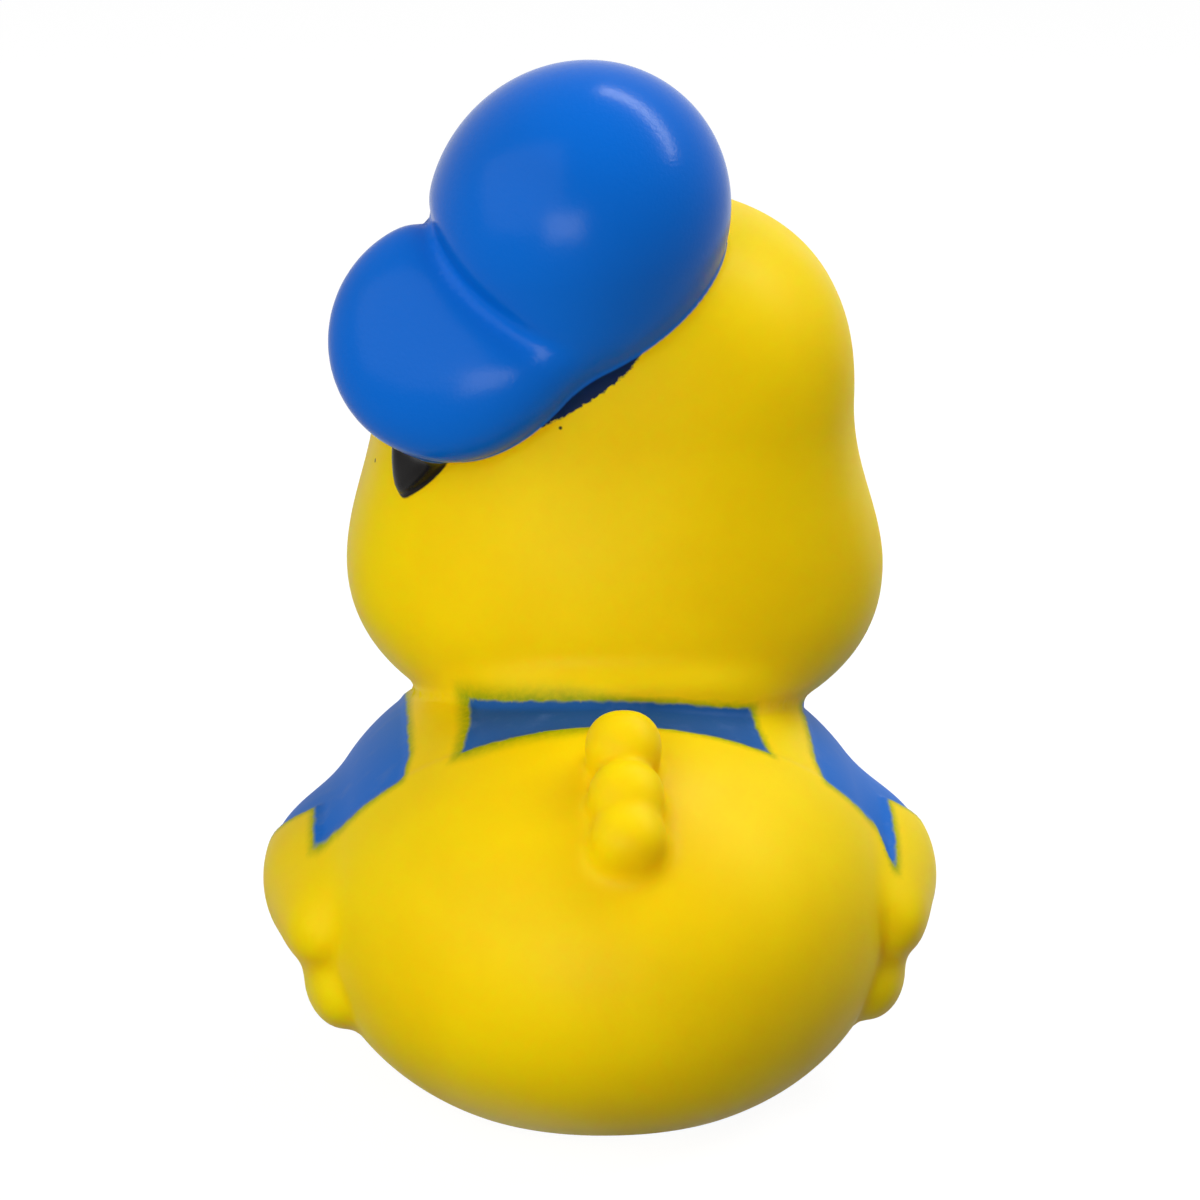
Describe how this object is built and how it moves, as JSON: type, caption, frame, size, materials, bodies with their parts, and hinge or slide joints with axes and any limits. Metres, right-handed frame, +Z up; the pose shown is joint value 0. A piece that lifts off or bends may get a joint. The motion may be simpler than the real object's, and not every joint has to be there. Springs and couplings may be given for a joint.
{
  "type": "rubber duck",
  "caption": "Moulded vinyl bath duck with a large head, a puffy cap worn sideways, folded wings, a knobbly tail and a flat base.",
  "frame": {"origin": "middle of the flat base, where the duck stands", "axes": "+Z up, the duck faces +Y, +X to the duck's right-hand side as seen from behind"},
  "size_m": [0.0576, 0.0739, 0.0864],
  "materials": {
    "vinyl": "satin"
  },
  "bodies": {
    "root": {"duck": "vinyl"}
  },
  "joints": []
}
